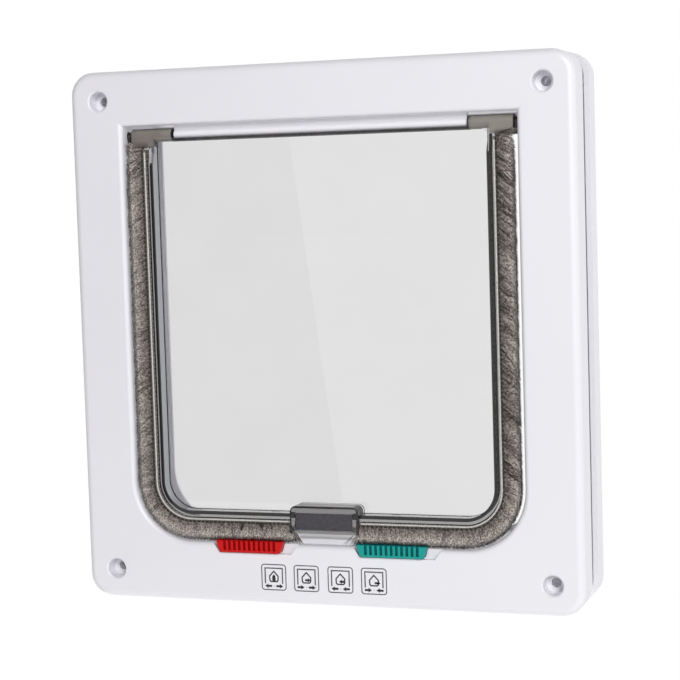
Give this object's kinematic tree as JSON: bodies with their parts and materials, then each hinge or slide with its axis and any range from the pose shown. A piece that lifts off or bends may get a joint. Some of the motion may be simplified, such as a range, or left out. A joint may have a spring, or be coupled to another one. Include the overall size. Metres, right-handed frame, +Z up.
{
  "type": "cat flap",
  "caption": "White cat flap: room and garden frames on a telescoping tunnel, clear swinging flap edged with brush pile, magnet catch, red and green sliding locks.",
  "frame": {"origin": "bottom centre of the bounding box, on the lower edges of the frames", "axes": "+Z up, +X to the right seen from the room, -Y out of the room-side face, +Y towards the garden"},
  "size_m": [0.24, 0.0468, 0.248],
  "materials": {
    "white_plastic": "satin moulded",
    "clear_plastic": "clear, smoked at the edges",
    "pile": "cut brush pile on a woven backing",
    "ferrite": "matt sintered",
    "red_plastic": "gloss",
    "green_plastic": "gloss",
    "plate_plastic": "matt",
    "steel": "zinc plated",
    "dark_plastic": "matt acetal"
  },
  "bodies": {
    "frame": {"interior_frame": "white_plastic", "sill_magnet": "ferrite", "sill_magnet_cover": "white_plastic", "lock_retainer_plate": "plate_plastic", "retainer_screws": "steel"},
    "flap": {"flap": "clear_plastic", "pile_strip_left": "pile", "pile_strip_right": "pile", "flap_magnet": "ferrite"},
    "red_lock": {"red_lock_thumb": "red_plastic", "red_lock_carriage": "dark_plastic"},
    "green_lock": {"green_lock_thumb": "green_plastic", "green_lock_carriage": "dark_plastic"},
    "garden_frame": {"exterior_frame": "white_plastic"}
  },
  "joints": [
    {"name": "flap_swing", "type": "hinge", "parent": "frame", "child": "flap", "pos_m": [0, -0.01335, 0.2179], "axis": [1, 0, 0], "range_deg": [-80, 80]},
    {"name": "red_lock_slide", "type": "slide", "parent": "frame", "child": "red_lock", "axis": [1, 0, 0], "range_m": [0, 0.0042]},
    {"name": "green_lock_slide", "type": "slide", "parent": "frame", "child": "green_lock", "axis": [1, 0, 0], "range_m": [0, 0.0042]},
    {"name": "depth_adjust", "type": "slide", "parent": "frame", "child": "garden_frame", "axis": [0, 1, 0], "range_m": [-0.007, 0.009]}
  ]
}
